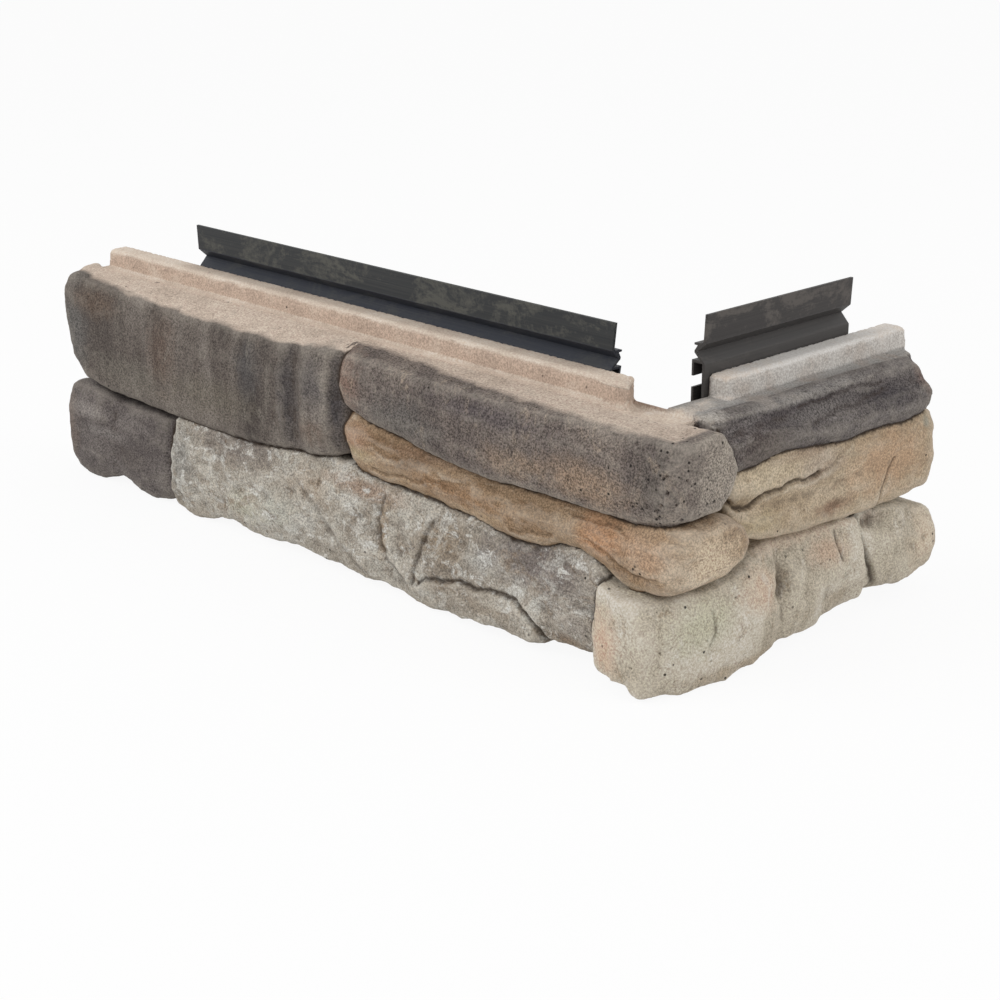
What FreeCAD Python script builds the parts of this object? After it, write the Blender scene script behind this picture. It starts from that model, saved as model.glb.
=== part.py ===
import FreeCAD, Part
import Sketcher
import math
import os
import re

# Corner piece of panelised stone cladding for an outside corner, with its fixing strips cast on.
# Frame: the wall's outside corner edge is the Z axis. The wall faces are the planes y = 0, for
# the long leg, which runs to -X and is seen from -Y, and x = 0, for the short leg, which runs to
# +Y and is seen from +X. z = 0 is the underside that sits on the course below.

doc = FreeCAD.newDocument("cladding_corner")
sheet = doc.addObject("Spreadsheet::Sheet", "Sizes")
SIZES = [
    # Concrete backing, shelf and tongue
    ("stand_off", 10, "wall to back of concrete, bridged by the strips"),
    ("backing_thick", 22, "concrete behind the stones"),
    ("shelf_level", 152.4, "underside to shelf: one 6 inch course"),
    ("long_end", 548, "corner to the free end of the long leg's backing"),
    ("short_end", 207, "corner to the free end of the short leg's backing"),
    ("end_bevel", 7, "bevel down the outer corner of each free end"),
    ("tongue_rise", 14.2, "tongue above the shelf"),
    ("tongue_thick", 16, "tongue at its foot"),
    ("tongue_lean", 1.2, "how far the tongue's front leans back"),
    ("tongue_round", 4, "rounding of the tongue's top front edge"),
    ("tongue_inset", 6, "free end of the long backing to the end of its tongue"),
    ("long_tongue_start", 7, "corner to the near end of the long tongue, at its front"),
    ("tongue_mitre", 10, "how much further back that end lies at the tongue's back"),
    ("short_tongue_start", 26, "corner to the near end of the short tongue"),
    ("lap_play", 1.2, "play between a tongue and the rebate over it"),
    ("rebate_run", 12, "how far the rebate's space passes the underside and the ends"),
    # Section of a fixing strip: heights down from its top edge, depths out from the wall
    ("strip_wall", 2.0, "wall thickness of the extrusion"),
    ("hook_wall", 1.5, "wall thickness of its hooks"),
    ("flange_drop", 17.8, "height of the fixing flange"),
    ("flange_back", 8.5, "wall to the rear of the flange at its foot"),
    ("flange_lean", 0.8, "lean of the flange, top edge forward"),
    ("barb_tip", 1.5, "wall to the tip of the barb"),
    ("barb_thick", 1.2, "thickness of the barb"),
    ("bend_drop", 23.8, "top edge to the apex of the bend"),
    ("bend_back", 1.7, "wall to the rear of the apex"),
    ("web_drop", 29, "top edge to the upper web"),
    ("slot_top", 38.9, "top edge to the lip of the upper hook"),
    ("slot_foot", 45.9, "top edge to the lip of the lower hook"),
    ("channel_drop", 57.4, "top edge to the underside of the lower web"),
    ("strip_drop", 70, "whole height of the strip"),
    ("anchor_neck", 1.6, "neck of a cast-in anchor rib"),
    ("anchor_head", 4, "head of a cast-in anchor rib"),
    ("anchor_depth", 6, "depth of an anchor rib in the concrete"),
    ("anchor_one", 56, "top edge to the middle of the upper anchor rib"),
    ("anchor_two", 66, "top edge to the middle of the lower anchor rib"),
    ("long_strip_top", 196.5, "level of the long strip's top edge"),
    ("long_strip_near", 32.1, "corner to the near end of the long strip"),
    ("long_strip_far", 446.4, "corner to the far end of the long strip"),
    ("long_strip_skew", 11, "how far its near end is sawn off square at the foot"),
    ("short_strip_top", 203.4, "level of the short strip's top edge"),
    ("short_strip_near", 22, "corner to the near end of the short strip"),
    ("short_strip_far", 165, "corner to the far end of the short strip"),
    # Stones
    ("joint_gap", 1.6, "least gap between the beds of two stones"),
    ("stone_root", 4.5, "how far a stone's root is sunk in the backing"),
    ("bed_skin", 0.2, "how far a stone's bed keeps below the shelf and above the underside"),
    ("face_swell", 1.6, "swell of a split face between its ridges"),
    ("station_step", 24, "widest spacing of the sections along a stone"),
]
for row, (alias, value, note) in enumerate(SIZES, start=1):
    sheet.set("A%d" % row, note)
    sheet.set("B%d" % row, "%g" % value)
    sheet.setAlias("B%d" % row, alias)
doc.recompute()


def read(alias):
    return float(getattr(sheet, alias))


def bound(text):
    # Points each size that an expression names at the sheet
    names = {alias for alias, value, note in SIZES}
    return re.sub("[a-z_]+", lambda word: "Sizes." + word[0] if word[0] in names else word[0], text)


def outline(body, name, role, corners, level=None):
    # A closed outline in one of the body's own planes, each corner pinned by two expressions
    sketch = body.newObject("Sketcher::SketchObject", name)
    planes = [item for item in body.Origin.OriginFeatures if item.Role == role]
    sketch.AttachmentSupport = [(planes[0], "")]
    sketch.MapMode = "FlatFace"
    if level:
        sketch.setExpression("AttachmentOffset.Base.z", bound(level))
    count = len(corners)
    turns = [2 * math.pi * corner / count for corner in range(count)]
    rough = [FreeCAD.Vector(100 * math.cos(turn), 100 * math.sin(turn), 0) for turn in turns]
    for corner in range(count):
        sketch.addGeometry(Part.LineSegment(rough[corner], rough[(corner + 1) % count]), False)
    for corner in range(count):
        after = (corner + 1) % count
        sketch.addConstraint(Sketcher.Constraint("Coincident", corner, 2, after, 1))
    for corner, (across, up) in enumerate(corners):
        for kind, text, value in (("DistanceX", across, rough[corner].x),
                                  ("DistanceY", up, rough[corner].y)):
            pin = Sketcher.Constraint(kind, -1, 1, corner, 1, value)
            sketch.setExpression("Constraints[%d]" % sketch.addConstraint(pin), bound(text))
    doc.recompute()
    return sketch


def pad(body, name, sketch, length, reverse=False, taper=None):
    feature = body.newObject("PartDesign::Pad", name)
    feature.Profile = sketch
    feature.setExpression("Length", bound(length))
    feature.Reversed = reverse
    if taper:
        feature.setExpression("TaperAngle", bound(taper))
    doc.recompute()
    return feature


def make_backing():
    # The L of concrete behind the stones, with a tongue on top of each leg
    body = doc.addObject("PartDesign::Body", "Backing")
    front = "stand_off + backing_thick"
    plan = [("-long_end", "-stand_off"), ("stand_off", "-stand_off"), ("stand_off", "short_end"),
            (front + " - end_bevel", "short_end"), (front, "short_end - end_bevel"),
            (front, "-(%s)" % front), ("-long_end + end_bevel", "-(%s)" % front),
            ("-long_end", "-(%s) + end_bevel" % front)]
    pad(body, "Core", outline(body, "CorePlan", "XY_Plane", plan), "shelf_level")

    # Section of a tongue: upright at the back, leaning and well rounded at the front
    foot = "stand_off + tongue_thick"
    top = "shelf_level + tongue_rise"
    section = [("stand_off", "shelf_level"), (foot, "shelf_level"),
               (foot + " - tongue_lean", top + " - tongue_round"),
               (foot + " - tongue_lean - tongue_round * 0.3", top + " - tongue_round * 0.3"),
               (foot + " - tongue_lean - tongue_round", top), ("stand_off", top)]
    behind = [("-(%s)" % out, up) for out, up in section]
    sketch = outline(body, "LongTongueSection", "YZ_Plane", behind, "-long_end + tongue_inset")
    pad(body, "LongTongue", sketch, "long_end - tongue_inset - long_tongue_start")
    sketch = outline(body, "ShortTongueSection", "XZ_Plane", section, "-short_tongue_start")
    pad(body, "ShortTongue", sketch, "short_end - short_tongue_start", reverse=True)

    # The long tongue's near end is cut back to a mitre behind
    corner = "-long_tongue_start"
    plan = [(corner + " - tongue_mitre", "-stand_off"), (corner, "-(%s)" % foot),
            (corner + " + tongue_round", "-(%s)" % foot),
            (corner + " + tongue_round", "-stand_off")]
    mitre = body.newObject("PartDesign::Pocket", "TongueMitre")
    mitre.Profile = outline(body, "MitrePlan", "XY_Plane", plan, "shelf_level")
    mitre.setExpression("Length", bound("tongue_rise + tongue_round"))
    mitre.Reversed = True
    doc.recompute()

    level = read("shelf_level") + read("tongue_rise")
    ends = body.newObject("PartDesign::Chamfer", "TongueEnds")
    edges = ["Edge%d" % number for number, edge in enumerate(mitre.Shape.Edges, start=1)
             if edge.BoundBox.ZMin > level - 0.01 and edge.Length < read("tongue_thick")]
    ends.Base = (mitre, edges)
    ends.setExpression("Size", bound("tongue_round / 2"))
    body.Tip = ends
    doc.recompute()
    return body


def make_rebate():
    # The space under the back, which laps over the tongue of the course below
    body = doc.addObject("PartDesign::Body", "RebateSpace")
    lap = "stand_off + tongue_thick + lap_play"
    plan = [("-long_end - rebate_run", "-stand_off + 1"), ("stand_off - 1", "-stand_off + 1"),
            ("stand_off - 1", "short_end + rebate_run"), (lap, "short_end + rebate_run"),
            (lap, "-(%s)" % lap), ("-long_end - rebate_run", "-(%s)" % lap)]
    sketch = outline(body, "RebatePlan", "XY_Plane", plan, "-rebate_run")
    pad(body, "Rebate", sketch, "rebate_run + tongue_rise + lap_play")
    return body


def eased(points):
    # A height or depth along a leg: it passes through its readings and levels out at each
    def value(at):
        if at <= points[0][0]:
            return points[0][1]
        for (start, low), (end, high) in zip(points, points[1:]):
            if at <= end:
                share = (at - start) / (end - start)
                return low + (high - low) * share * share * (3 - 2 * share)
        return points[-1][1]
    return value


def make_stone(name, leg, span, near, far, bed, crown, face, root, sill=None, shelf=None):
    # One stone of the casting, lofted along its leg through split, many-sided sections.
    # bed and crown are its lower and upper bed heights. face lists, at each reading, how far the
    # foot, the ridge and the brow stand off the wall, the ridge's share of the height, and how
    # much the foot and the brow are rounded. root gives the depth of the hidden side and how far
    # that side swells, for a head past the corner. near and far tell how its two ends close:
    # over what length, and how much in depth and height. sill and shelf are the levels that its
    # beds keep where they meet the backing, if not their own.
    foot, ridge, brow, share, under, over = [
        eased([(row[0], row[n]) for row in face]) for n in range(1, 7)]
    behind, swelling = [eased([(row[0], row[n]) for row in root]) for n in (1, 2)]
    swell = read("face_swell")
    core = read("stand_off") + read("backing_thick")

    def closing(at, kind):
        # How far a section draws in near an end, as round a quarter of an ellipse
        inset = 0
        for end, away in ((near, at - span[0]), (far, span[1] - at)):
            past = max(1 - away / end[0], 0)
            inset = max(inset, end[kind] * (1 - math.sqrt(1 - past * past)))
        return inset

    def section(at):
        inset = closing(at, 1)
        low, high = bed(at) + closing(at, 2), crown(at) - closing(at, 2)
        toe, crest, top = foot(at) - inset, ridge(at) - inset, brow(at) - inset
        height = high - low
        middle = low + height * share(at)
        back, hollow = behind(at), swelling(at)
        lower = min(under(at), 0.25 * height)
        upper = min(over(at), 0.45 * height, top - back - 3)
        brink = min(core + 1.5, top - upper - 0.5, toe - lower - 0.5)
        rise = shelf if shelf else high
        drop = sill if sill else low
        corners = [
            (back, drop), (brink, drop), (toe - lower, low),
            (toe - 0.3 * lower, low + 0.3 * lower),
            (toe, low + lower), ((toe + crest) / 2 + swell, (low + lower + middle) / 2),
            (crest, middle), ((crest + top) / 2 + swell, (high - upper + middle) / 2),
            (top, high - upper), (top - 0.3 * upper, high - 0.3 * upper), (top - upper, high),
            (brink, rise), (back, rise), (back - 0.62 * hollow, high - 0.18 * height),
            (back - hollow, (low + high) / 2), (back - 0.62 * hollow, low + 0.18 * height)]
        if leg == "long":
            points = [FreeCAD.Vector(at, -out, level) for out, level in corners]
        else:
            points = [FreeCAD.Vector(out, at, level) for out, level in corners]
        return Part.makePolygon(points + points[:1])

    # Sections stand at each reading between the closing ends, and evenly between readings
    inner, outer = span[0] + near[0], span[1] - far[0]
    marks = [inner] + [row[0] for row in face if inner + 4 < row[0] < outer - 4] + [outer]
    places = [span[0] + near[0] * share for share in (0, 0.08, 0.3, 0.6)]
    for start, end in zip(marks, marks[1:]):
        count = math.ceil((end - start) / read("station_step"))
        places += [start + (end - start) * step / count for step in range(count)]
    places += [outer] + [span[1] - far[0] * share for share in (0.6, 0.3, 0.08, 0)]
    stone = doc.addObject("Part::Feature", name)
    stone.Shape = Part.makeLoft([section(at) for at in places], True, True)
    return stone


def make_stones():
    gap = read("joint_gap")
    core = read("stand_off") + read("backing_thick") - read("stone_root")
    skin = read("bed_skin")
    shelf = read("shelf_level") - skin

    # Beds of the long leg, as distance along X and height
    top = eased([(-565, 148), (-552, 150), (-500, 149), (-420, 146), (-340, 145), (-290, 146), (-262, 149),
                 (-226, 149), (-150, 148), (-60, 148), (0, 150), (60, 151)])
    upper = eased([(-565, 132), (-561, 120), (-556, 102), (-551, 84), (-545, 75), (-534, 71),
                   (-495, 66), (-425, 65), (-337, 65), (-280, 70), (-230, 76)])
    end_top = eased([(-571, 60), (-555, 65), (-534, 66), (-495, 61), (-430, 60)])
    middle = eased([(-240, 112), (-206, 107), (-177, 104), (-158, 100), (-139, 98), (-85, 95),
                    (-51, 97), (30, 97), (63, 103)])
    lower = eased([(-240, 76), (-215, 71), (-177, 69), (-150, 69), (-121, 67), (-85, 63),
                   (-68, 61), (-50, 63), (-34, 69), (-15, 70), (-4, 67), (7, 59), (14, 56),
                   (48, 58), (66, 61)])
    base = eased([(-567, -2), (-545, -6), (-520, -6), (-497, 0), (-455, -7), (-430, -4),
                  (-395, -7), (-361, 0), (-335, -5), (-290, -1), (-262, 0), (-240, -2),
                  (-202, -4), (-182, -2), (-162, -6), (-124, -4), (-105, -2), (-69, 0),
                  (-53, -1), (-30, 3), (6, 3)])

    # Beds of the short leg, as distance along Y and height
    crown_top = eased([(-12, 152), (20, 154), (110, 154), (160, 153), (190, 151), (204, 148)])
    crown_bed = eased([(3, 121), (42, 125), (62, 124), (102, 118), (144, 119), (166, 116),
                       (187, 118), (204, 121)])
    mid_bed = eased([(-4, 84), (6, 76), (27, 72), (46, 70), (86, 68), (107, 66), (172, 65),
                     (204, 67)])
    foot_top = eased([(-70, 55), (-30, 57), (-12, 54), (-2, 57), (8, 61), (16, 66),
                      (28, 70), (46, 69), (107, 66), (157, 64), (175, 62), (190, 56), (217, 50)])
    foot_base = eased([(-70, -6), (-40, -7), (-20, -7), (5, -5), (44, -2), (62, 1), (80, 1),
                       (95, 5), (114, 8), (144, 8), (170, 4), (217, 9)])

    def below(line, drop):
        return lambda at: line(at) - drop

    def under_both(at):
        return (upper(at) if at < -238 else lower(at)) - gap

    plain = [(0, core, 0)]
    # Tall dark stone at the free end, with an upright facet near its inner end
    tall = make_stone("TallStone", "long", (-565, -235), (14, 8, 4), (7, 6, 3), upper, top,
                      [(-565, 57, 57, 54, 0.5, 4, 5), (-520, 58, 59, 56, 0.6, 4, 5),
                       (-440, 58, 60, 57, 0.5, 4, 6), (-360, 58, 60, 57, 0.5, 4, 6),
                       (-292, 58, 60, 57, 0.5, 4, 5), (-283, 54, 56, 53, 0.5, 4, 5),
                       (-268, 58, 60, 57, 0.5, 4, 5), (-248, 57, 58, 55, 0.5, 4, 4),
                       (-238, 51, 52, 50, 0.5, 4, 4)],
                      [(-562, 22, 2), (-546, core, 0)], shelf=shelf)
    # Small dark stone under it
    end = make_stone("EndStone", "long", (-571, -430.8), (16, 10, 8), (8, 6, 4), base, end_top,
                     [(-571, 57, 59, 56, 0.5, 5, 5), (-520, 60, 62, 58, 0.55, 5, 6),
                      (-498, 57, 59, 55, 0.5, 5, 5), (-470, 59, 61, 57, 0.5, 5, 5),
                      (-432, 57, 58, 55, 0.5, 4, 4)], plain, sill=skin)
    # Long pale split stone along the foot, with a flake left standing at its lower edge
    split = make_stone("SplitStone", "long", (-430, 6), (10, 7, 5), (7, 5, 4), base, under_both,
                       [(-430, 59, 60, 56, 0.5, 5, 4), (-395, 59, 62, 56, 0.5, 5, 4),
                        (-361, 57, 60, 56, 0.5, 4, 4), (-300, 59, 63, 55, 0.45, 6, 4),
                        (-250, 58, 61, 54, 0.5, 5, 4), (-205, 60, 60, 55, 0.4, 5, 4),
                        (-192, 57, 58, 54, 0.5, 5, 4), (-160, 58, 61, 55, 0.5, 5, 4),
                        (-145, 61, 60, 55, 0.4, 4, 4), (-100, 63, 61, 54, 0.35, 5, 4),
                        (-54, 61, 60, 54, 0.35, 4, 4), (-40, 56, 59, 54, 0.5, 5, 4),
                        (6, 57, 58, 54, 0.5, 5, 4)], plain, sill=skin)
    # Cleft tan stone that turns the corner
    cleft = make_stone("CleftStone", "long", (-238, 66), (20, 11, 11), (18, 14, 7), lower,
                       below(middle, gap),
                       [(-238, 54, 57, 53, 0.6, 4, 4), (-190, 57, 60, 55, 0.6, 4, 4),
                        (-110, 57, 60, 54, 0.65, 4, 4), (-50, 58, 61, 55, 0.6, 4, 4),
                        (0, 60, 63, 56, 0.5, 6, 4), (66, 62, 63, 58, 0.5, 6, 4)],
                       [(4, core, 0), (30, 14, 15), (66, 14, 16)])
    # Thick grey stone over it, which turns the corner too
    pillow = make_stone("PillowStone", "long", (-240, 63), (16, 9, 8), (15, 13, 3), middle, top,
                        [(-240, 56, 57, 54, 0.5, 4, 5), (-190, 59, 60, 57, 0.5, 4, 6),
                         (-90, 60, 61, 58, 0.5, 4, 6), (0, 61, 62, 58, 0.5, 4, 6),
                         (63, 60, 62, 58, 0.5, 6, 5)],
                        [(4, core, 0), (30, 20, 14), (63, 24, 16)], shelf=shelf)
    # Pale stone at the foot of the corner, all along the short leg, with two upright hollows
    foot = make_stone("FootStone", "short", (-70, 217), (8, 4, 3), (14, 9, 8), foot_base,
                      below(foot_top, gap),
                      [(-70, 46, 47, 42, 0.5, 4, 5), (-62, 50, 51, 46, 0.5, 5, 6),
                       (-46, 55, 56, 51, 0.5, 5, 6), (-20, 59, 61, 56, 0.5, 5, 5),
                       (16, 62, 64, 59, 0.5, 6, 6),
                       (36, 60, 62, 56, 0.5, 6, 9), (46, 56, 57, 50, 0.5, 6, 10),
                       (60, 60, 62, 54, 0.5, 6, 10), (97, 58, 62, 54, 0.5, 6, 9),
                       (106, 56, 60, 54, 0.5, 6, 8), (124, 60, 62, 57, 0.5, 6, 5),
                       (136, 54, 53, 48, 0.5, 6, 6), (150, 56, 56, 50, 0.5, 6, 8),
                       (170, 59, 60, 56, 0.5, 7, 6), (217, 58, 58, 54, 0.5, 8, 6)],
                      [(-70, 22, 2), (-60, 2, 4), (-36, 2, 4), (-29, core, 0)], sill=skin)
    # Orange stone in the middle of the short leg
    mid = make_stone("MidStone", "short", (-4, 204), (6, 5, 2), (10, 6, 6), mid_bed,
                     below(crown_bed, gap),
                     [(-4, 55, 52, 54, 0.5, 4, 3), (50, 59, 55, 56, 0.45, 4, 3),
                      (90, 59, 55, 57, 0.4, 4, 3), (130, 58, 56, 56, 0.6, 4, 3),
                      (204, 57, 58, 55, 0.6, 5, 4)], plain)
    # Dark stone on top of the short leg, rounded over from the shelf to its face
    crown = make_stone("CrownStone", "short", (-13, 204), (6, 5, 2), (13, 9, 5), crown_bed,
                       crown_top,
                       [(-13, 58, 57, 50, 0.4, 4, 11), (60, 59, 58, 50, 0.4, 4, 12),
                        (130, 58, 57, 49, 0.4, 4, 13), (204, 56, 55, 49, 0.4, 4, 12)],
                       [(0, core + 2, 0)], shelf=shelf)
    return [tall, end, split, cleft, pillow, foot, mid, crown]


def strip_profile(top, sign):
    # Section of the extrusion as pairs of expressions, from the flange's front edge downwards
    plate = "(stand_off - strip_wall)"
    lip = "hook_wall"
    barb = "(flange_back - 4.5)"
    rows = [
        ("flange_back + flange_lean + strip_wall", "0"),
        ("flange_back + strip_wall", "flange_drop"),
        ("bend_back + strip_wall", "bend_drop"),
        ("stand_off", "web_drop + hook_wall"),
        ("stand_off", "anchor_one - anchor_neck / 2"),
        ("stand_off + anchor_depth - hook_wall", "anchor_one - anchor_neck / 2"),
        ("stand_off + anchor_depth", "anchor_one - anchor_head / 2"),
        ("stand_off + anchor_depth", "anchor_one + anchor_head / 2"),
        ("stand_off + anchor_depth - hook_wall", "anchor_one + anchor_neck / 2"),
        ("stand_off", "anchor_one + anchor_neck / 2"),
        ("stand_off", "anchor_two - anchor_neck / 2"),
        ("stand_off + anchor_depth - hook_wall", "anchor_two - anchor_neck / 2"),
        ("stand_off + anchor_depth", "anchor_two - anchor_head / 2"),
        ("stand_off + anchor_depth", "anchor_two + anchor_head / 2"),
        ("stand_off + anchor_depth - hook_wall", "anchor_two + anchor_neck / 2"),
        ("stand_off", "anchor_two + anchor_neck / 2"),
        ("stand_off", "strip_drop"),
        (plate, "strip_drop"),
        (plate, "channel_drop"),
        ("0", "channel_drop"),
        ("0", "slot_foot"),
        (lip, "slot_foot"),
        (lip, "channel_drop - hook_wall"),
        (plate, "channel_drop - hook_wall"),
        (plate, "web_drop + hook_wall"),
        (lip, "web_drop + hook_wall"),
        (lip, "slot_top"),
        ("0", "slot_top"),
        ("0", "web_drop"),
        (plate + " - hook_wall", "web_drop"),
        ("bend_back", "bend_drop + barb_thick / 2"),
        ("bend_back", "bend_drop - barb_thick / 2"),
        (barb, "flange_drop + barb_thick + hook_wall / 2"),
        ("barb_tip", "flange_drop + barb_thick * 1.5"),
        ("barb_tip", "flange_drop + barb_thick / 2"),
        ("flange_back - strip_wall / 2", "flange_drop"),
        ("flange_back", "flange_drop - strip_wall / 2"),
        ("flange_back + flange_lean", "0"),
    ]
    return [("%s(%s)" % (sign, out), "%s - (%s)" % (top, drop)) for out, drop in rows]


def make_strips():
    long_strip = doc.addObject("PartDesign::Body", "LongStrip")
    long_strip.Label = "long_mounting_strip"
    profile = strip_profile("long_strip_top", "-")
    sketch = outline(long_strip, "LongSection", "YZ_Plane", profile, "-long_strip_far")
    pad(long_strip, "LongExtrusion", sketch, "long_strip_far - long_strip_near")
    # The near end is sawn a little off square, so its foot stops short of its top edge
    saw = outline(long_strip, "SawCut", "XZ_Plane",
                  [("-long_strip_near", "long_strip_top"), ("-long_strip_near + 5", "long_strip_top"),
                   ("-long_strip_near + 5", "long_strip_top - strip_drop - 1"),
                   ("-long_strip_near - long_strip_skew", "long_strip_top - strip_drop - 1")])
    cut = long_strip.newObject("PartDesign::Pocket", "SawnEnd")
    cut.Profile = saw
    cut.Type = "ThroughAll"
    cut.Midplane = True
    doc.recompute()

    short_strip = doc.addObject("PartDesign::Body", "ShortStrip")
    short_strip.Label = "short_mounting_strip"
    profile = strip_profile("short_strip_top", "")
    sketch = outline(short_strip, "ShortSection", "XZ_Plane", profile, "-short_strip_near")
    pad(short_strip, "ShortExtrusion", sketch, "short_strip_far - short_strip_near", reverse=True)
    return [long_strip, short_strip]


def make_casting(backing, stones, rebate, strips):
    # Stones and backing are one pour of concrete, cast round the strips' anchor ribs
    pour = doc.addObject("Part::MultiFuse", "Pour")
    pour.Shapes = [backing] + stones
    doc.recompute()
    for name, space in zip(("Rebated", "LongAnchored", "ShortAnchored"), [rebate] + strips):
        cut = doc.addObject("Part::Cut", name)
        cut.Base, cut.Tool = pour, space
        doc.recompute()
        pour = cut
    pour.Label = "stone_casting"
    return pour


strips = make_strips()
casting = make_casting(make_backing(), make_stones(), make_rebate(), strips)
doc.recompute()

for item in doc.Objects:
    if "Invalid" in item.State or "Error" in item.State:
        raise RuntimeError("%s failed: %s" % (item.Name, item.State))
os.makedirs("parts", exist_ok=True)
for node in [casting] + strips:
    shape = node.Shape
    if shape.isNull() or not shape.isValid():
        raise RuntimeError("%s has no valid shape" % node.Label)
    print(node.Label, "solids", len(shape.Solids), "volume", round(shape.Volume),
          "box", [round(value, 1) for value in (shape.BoundBox.XMin, shape.BoundBox.XMax,
                                                shape.BoundBox.YMin, shape.BoundBox.YMax,
                                                shape.BoundBox.ZMin, shape.BoundBox.ZMax)])
    shape.exportStep("parts/%s.step" % node.Label)
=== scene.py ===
# %% [markdown]
# # A corner piece of cast stone cladding
# The object is one pour of pigmented concrete, shaped in a mould taken from split stones, with
# two lengths of black plastic strip cast on behind it. The solids come from the imported model,
# which already has each stone in its place. Blender adds what a mould of real stone leaves:
# split faces, cracks, air holes, and the colours that were brushed into the mould. It also
# paints shade into the hollows, cracks, holes and gaps, onto the tongue's front and the short
# leg's shelf.

# %% Load the frame
import math

import bpy
import numpy as np
from mathutils.bvhtree import BVHTree
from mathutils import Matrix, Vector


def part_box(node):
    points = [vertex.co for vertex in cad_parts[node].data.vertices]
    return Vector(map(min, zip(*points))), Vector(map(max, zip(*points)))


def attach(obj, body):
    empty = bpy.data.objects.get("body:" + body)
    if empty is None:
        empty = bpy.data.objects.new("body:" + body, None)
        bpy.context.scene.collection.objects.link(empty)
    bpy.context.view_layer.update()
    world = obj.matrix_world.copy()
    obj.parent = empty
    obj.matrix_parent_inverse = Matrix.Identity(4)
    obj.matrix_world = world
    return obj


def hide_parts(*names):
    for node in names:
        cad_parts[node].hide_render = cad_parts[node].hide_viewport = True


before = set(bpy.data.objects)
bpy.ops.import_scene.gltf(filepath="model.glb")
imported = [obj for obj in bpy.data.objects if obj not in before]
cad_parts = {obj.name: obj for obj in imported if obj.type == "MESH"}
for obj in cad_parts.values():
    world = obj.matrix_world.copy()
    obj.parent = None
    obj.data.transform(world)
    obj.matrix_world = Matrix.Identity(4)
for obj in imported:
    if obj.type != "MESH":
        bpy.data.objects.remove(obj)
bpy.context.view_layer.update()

# %% [markdown]
# ## A bench for nodes
# Materials and geometry trees are both made of nodes. Long sums are hard to read when they are
# wired one node at a time, so a small class wraps a socket and turns Python's signs into Math
# nodes. Every other node comes from one method, which takes its type, settings and inputs.

# %% A wire that can be added and multiplied
class Wire:
    def __init__(self, bench, socket):
        self.bench = bench
        self.socket = socket

    def sum(self, operation, *terms):
        return self.bench.node("ShaderNodeMath", {"operation": operation}, dict(enumerate(terms)))

    def __add__(self, other):
        return self.sum("ADD", self, other)

    def __sub__(self, other):
        return self.sum("SUBTRACT", self, other)

    def __rsub__(self, other):
        return self.sum("SUBTRACT", other, self)

    def __mul__(self, other):
        return self.sum("MULTIPLY", self, other)

    def __truediv__(self, other):
        return self.sum("DIVIDE", self, other)

    __radd__ = __add__
    __rmul__ = __mul__

    def held(self):
        # The same value, kept between nought and one
        made = self.sum("ADD", self, 0.0)
        made.socket.node.use_clamp = True
        return made


# %% A bench that makes nodes
class Bench:
    def __init__(self, tree):
        self.tree = tree

    def node(self, kind, settings=None, inputs=None, output=0):
        made = self.tree.nodes.new(kind)
        for key, value in (settings or {}).items():
            if key == "stops":
                self.set_stops(made.color_ramp, value)
            else:
                setattr(made, key, value)
        for key, value in (inputs or {}).items():
            if isinstance(value, Wire):
                self.tree.links.new(value.socket, made.inputs[key])
            else:
                made.inputs[key].default_value = value
        return Wire(self, made.outputs[output])

    def set_stops(self, ramp, stops):
        while len(ramp.elements) < len(stops):
            ramp.elements.new(0.5)
        for element, (place, colour) in zip(ramp.elements, stops):
            element.position = place
            element.color = colour

    def vector(self, operation, first, second=(0.0, 0.0, 0.0), output=0):
        return self.node("ShaderNodeVectorMath", {"operation": operation},
                         {0: first, 1: second}, output)

    def mix(self, factor, first, second, blend="MIX"):
        return self.node("ShaderNodeMix", {"data_type": "RGBA", "blend_type": blend},
                         {0: factor, 6: first, 7: second}, 2)

    def noise(self, place, scale, detail=3.0, roughness=0.55, distortion=0.0):
        return self.node("ShaderNodeTexNoise", None,
                         {"Vector": place, "Scale": scale, "Detail": detail,
                          "Roughness": roughness, "Distortion": distortion})


def painted(bench, name, output=2):
    # What a mesh keeps under this name, read by a material: output 1 is a colour, 2 a number
    return bench.node("ShaderNodeAttribute", {"attribute_name": name}, None, output)


def own_place(bench):
    # Where a point lies in its object's own frame, in metres
    return bench.node("ShaderNodeTexCoord", None, None, 3)


def seen_directly(bench):
    # One for what the camera sees, also by a reflection or through glass, and nought for the rest
    path = bench.node("ShaderNodeLightPath").socket.node
    rays = [Wire(bench, path.outputs[name])
            for name in ("Is Camera Ray", "Is Glossy Ray", "Is Transmission Ray")]
    return (rays[0] + rays[1] + rays[2]).held()


def pigment(red, green, blue):
    # A colour as it looks on a screen, from 0 to 255, turned into the linear one of a shader
    channels = [value / 255 for value in (red, green, blue)]
    return [v / 12.92 if v <= 0.04045 else ((v + 0.055) / 1.055) ** 2.4 for v in channels] + [1.0]


print("bench ready")

# %% [markdown]
# ## Where each stone lies
# The stones meet along beds that rise and fall. The same readings that shaped the solids, in
# millimetres, tell which stone a point of the surface belongs to. That settles its pigment and
# how it split, so each stone can differ without being cut off the pour.

# %% Bed lines of the two legs
def eased(points):
    places, levels = np.array(points, float).T

    def value(at):
        step = np.clip(np.searchsorted(places, at) - 1, 0, len(places) - 2)
        share = np.clip((at - places[step]) / (places[step + 1] - places[step]), 0, 1)
        return levels[step] + (levels[step + 1] - levels[step]) * share * share * (3 - 2 * share)
    return value


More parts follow.
